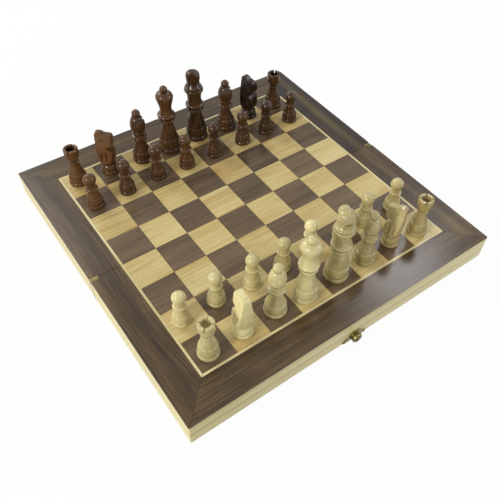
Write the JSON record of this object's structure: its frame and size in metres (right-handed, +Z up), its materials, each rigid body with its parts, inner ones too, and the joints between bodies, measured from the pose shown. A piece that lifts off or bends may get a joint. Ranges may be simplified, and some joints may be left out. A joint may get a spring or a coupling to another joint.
{
  "type": "folding chess box",
  "caption": "Folding wooden chess box laid open as a board: hinged shallow trays with walnut and maple squares, brass hinges, hasp and catch knob, and a full set of turned men.",
  "frame": {"origin": "on the plane of the rims that the open box lies on, at the middle of the fold between the halves", "axes": "+X along the fold from the a file to the h file, +Y towards the far half with the hasp, +Z up, out of the playing surface"},
  "size_m": [0.298, 0.3056, 0.0998],
  "materials": {
    "pine": "clear satin lacquer",
    "plywood": "raw inside",
    "walnut": "satin lacquer over veneer",
    "maple": "satin lacquer over veneer",
    "brass": "polished, slightly dulled",
    "boxwood": "gloss lacquer",
    "dark_wood": "dark red-brown stain under gloss lacquer"
  },
  "bodies": {
    "near_half": {"near_front_rail": "pine", "near_side_rails": "pine", "near_fold_rail": "pine", "near_panel": "plywood", "near_border": "walnut", "near_stringing": "maple", "near_dark_squares": "walnut", "near_light_squares": "maple", "near_hinge_leaves": "brass", "hinge_pins": "brass", "near_hinge_screws": "brass", "catch_plate": "brass", "catch_knob": "brass", "catch_nails": "brass"},
    "far_half": {"far_back_rail": "pine", "far_side_rails": "pine", "far_fold_rail": "pine", "far_panel": "plywood", "far_border": "walnut", "far_stringing": "maple", "far_dark_squares": "walnut", "far_light_squares": "maple", "far_hinge_leaves": "brass", "far_hinge_screws": "brass", "hasp_plate": "brass", "hasp_pin": "brass", "hasp_nails": "brass"},
    "hasp": {"hasp": "brass"},
    "white_rook_a1": {"white_rook_a1": "boxwood"},
    "white_knight_b1": {"white_knight_b1": "boxwood"},
    "white_bishop_c1": {"white_bishop_c1": "boxwood"},
    "white_queen_d1": {"white_queen_d1": "boxwood"},
    "white_king_e1": {"white_king_e1": "boxwood"},
    "white_bishop_f1": {"white_bishop_f1": "boxwood"},
    "white_knight_g1": {"white_knight_g1": "boxwood"},
    "white_rook_h1": {"white_rook_h1": "boxwood"},
    "white_pawn_a2": {"white_pawn_a2": "boxwood"},
    "white_pawn_b2": {"white_pawn_b2": "boxwood"},
    "white_pawn_c2": {"white_pawn_c2": "boxwood"},
    "white_pawn_d2": {"white_pawn_d2": "boxwood"},
    "white_pawn_e2": {"white_pawn_e2": "boxwood"},
    "white_pawn_f2": {"white_pawn_f2": "boxwood"},
    "white_pawn_g2": {"white_pawn_g2": "boxwood"},
    "white_pawn_h2": {"white_pawn_h2": "boxwood"},
    "black_pawn_a7": {"black_pawn_a7": "dark_wood"},
    "black_pawn_b7": {"black_pawn_b7": "dark_wood"},
    "black_pawn_c7": {"black_pawn_c7": "dark_wood"},
    "black_pawn_d7": {"black_pawn_d7": "dark_wood"},
    "black_pawn_e7": {"black_pawn_e7": "dark_wood"},
    "black_pawn_f7": {"black_pawn_f7": "dark_wood"},
    "black_pawn_g7": {"black_pawn_g7": "dark_wood"},
    "black_pawn_h7": {"black_pawn_h7": "dark_wood"},
    "black_rook_a8": {"black_rook_a8": "dark_wood"},
    "black_knight_b8": {"black_knight_b8": "dark_wood"},
    "black_bishop_c8": {"black_bishop_c8": "dark_wood"},
    "black_queen_d8": {"black_queen_d8": "dark_wood"},
    "black_king_e8": {"black_king_e8": "dark_wood"},
    "black_bishop_f8": {"black_bishop_f8": "dark_wood"},
    "black_knight_g8": {"black_knight_g8": "dark_wood"},
    "black_rook_h8": {"black_rook_h8": "dark_wood"}
  },
  "joints": [
    {"name": "board_fold", "type": "hinge", "parent": "near_half", "child": "far_half", "pos_m": [0, 0, 0], "axis": [-1, 0, 0], "range_deg": [0, 180]},
    {"name": "clasp_hasp", "type": "hinge", "parent": "far_half", "child": "hasp", "pos_m": [0, 0.1504, 0.0017], "axis": [-1, 0, 0], "range_deg": [0, 180]},
    {"name": "lift_white_rook_a1", "type": "slide", "parent": "near_half", "child": "white_rook_a1", "axis": [0, 0, 1], "range_m": [0, 0.06]},
    {"name": "lift_white_knight_b1", "type": "slide", "parent": "near_half", "child": "white_knight_b1", "axis": [0, 0, 1], "range_m": [0, 0.06]},
    {"name": "lift_white_bishop_c1", "type": "slide", "parent": "near_half", "child": "white_bishop_c1", "axis": [0, 0, 1], "range_m": [0, 0.06]},
    {"name": "lift_white_queen_d1", "type": "slide", "parent": "near_half", "child": "white_queen_d1", "axis": [0, 0, 1], "range_m": [0, 0.06]},
    {"name": "lift_white_king_e1", "type": "slide", "parent": "near_half", "child": "white_king_e1", "axis": [0, 0, 1], "range_m": [0, 0.06]},
    {"name": "lift_white_bishop_f1", "type": "slide", "parent": "near_half", "child": "white_bishop_f1", "axis": [0, 0, 1], "range_m": [0, 0.06]},
    {"name": "lift_white_knight_g1", "type": "slide", "parent": "near_half", "child": "white_knight_g1", "axis": [0, 0, 1], "range_m": [0, 0.06]},
    {"name": "lift_white_rook_h1", "type": "slide", "parent": "near_half", "child": "white_rook_h1", "axis": [0, 0, 1], "range_m": [0, 0.06]},
    {"name": "lift_white_pawn_a2", "type": "slide", "parent": "near_half", "child": "white_pawn_a2", "axis": [0, 0, 1], "range_m": [0, 0.06]},
    {"name": "lift_white_pawn_b2", "type": "slide", "parent": "near_half", "child": "white_pawn_b2", "axis": [0, 0, 1], "range_m": [0, 0.06]},
    {"name": "lift_white_pawn_c2", "type": "slide", "parent": "near_half", "child": "white_pawn_c2", "axis": [0, 0, 1], "range_m": [0, 0.06]},
    {"name": "lift_white_pawn_d2", "type": "slide", "parent": "near_half", "child": "white_pawn_d2", "axis": [0, 0, 1], "range_m": [0, 0.06]},
    {"name": "lift_white_pawn_e2", "type": "slide", "parent": "near_half", "child": "white_pawn_e2", "axis": [0, 0, 1], "range_m": [0, 0.06]},
    {"name": "lift_white_pawn_f2", "type": "slide", "parent": "near_half", "child": "white_pawn_f2", "axis": [0, 0, 1], "range_m": [0, 0.06]},
    {"name": "lift_white_pawn_g2", "type": "slide", "parent": "near_half", "child": "white_pawn_g2", "axis": [0, 0, 1], "range_m": [0, 0.06]},
    {"name": "lift_white_pawn_h2", "type": "slide", "parent": "near_half", "child": "white_pawn_h2", "axis": [0, 0, 1], "range_m": [0, 0.06]},
    {"name": "lift_black_pawn_a7", "type": "slide", "parent": "far_half", "child": "black_pawn_a7", "axis": [0, 0, 1], "range_m": [0, 0.06]},
    {"name": "lift_black_pawn_b7", "type": "slide", "parent": "far_half", "child": "black_pawn_b7", "axis": [0, 0, 1], "range_m": [0, 0.06]},
    {"name": "lift_black_pawn_c7", "type": "slide", "parent": "far_half", "child": "black_pawn_c7", "axis": [0, 0, 1], "range_m": [0, 0.06]},
    {"name": "lift_black_pawn_d7", "type": "slide", "parent": "far_half", "child": "black_pawn_d7", "axis": [0, 0, 1], "range_m": [0, 0.06]},
    {"name": "lift_black_pawn_e7", "type": "slide", "parent": "far_half", "child": "black_pawn_e7", "axis": [0, 0, 1], "range_m": [0, 0.06]},
    {"name": "lift_black_pawn_f7", "type": "slide", "parent": "far_half", "child": "black_pawn_f7", "axis": [0, 0, 1], "range_m": [0, 0.06]},
    {"name": "lift_black_pawn_g7", "type": "slide", "parent": "far_half", "child": "black_pawn_g7", "axis": [0, 0, 1], "range_m": [0, 0.06]},
    {"name": "lift_black_pawn_h7", "type": "slide", "parent": "far_half", "child": "black_pawn_h7", "axis": [0, 0, 1], "range_m": [0, 0.06]},
    {"name": "lift_black_rook_a8", "type": "slide", "parent": "far_half", "child": "black_rook_a8", "axis": [0, 0, 1], "range_m": [0, 0.06]},
    {"name": "lift_black_knight_b8", "type": "slide", "parent": "far_half", "child": "black_knight_b8", "axis": [0, 0, 1], "range_m": [0, 0.06]},
    {"name": "lift_black_bishop_c8", "type": "slide", "parent": "far_half", "child": "black_bishop_c8", "axis": [0, 0, 1], "range_m": [0, 0.06]},
    {"name": "lift_black_queen_d8", "type": "slide", "parent": "far_half", "child": "black_queen_d8", "axis": [0, 0, 1], "range_m": [0, 0.06]},
    {"name": "lift_black_king_e8", "type": "slide", "parent": "far_half", "child": "black_king_e8", "axis": [0, 0, 1], "range_m": [0, 0.06]},
    {"name": "lift_black_bishop_f8", "type": "slide", "parent": "far_half", "child": "black_bishop_f8", "axis": [0, 0, 1], "range_m": [0, 0.06]},
    {"name": "lift_black_knight_g8", "type": "slide", "parent": "far_half", "child": "black_knight_g8", "axis": [0, 0, 1], "range_m": [0, 0.06]},
    {"name": "lift_black_rook_h8", "type": "slide", "parent": "far_half", "child": "black_rook_h8", "axis": [0, 0, 1], "range_m": [0, 0.06]}
  ]
}
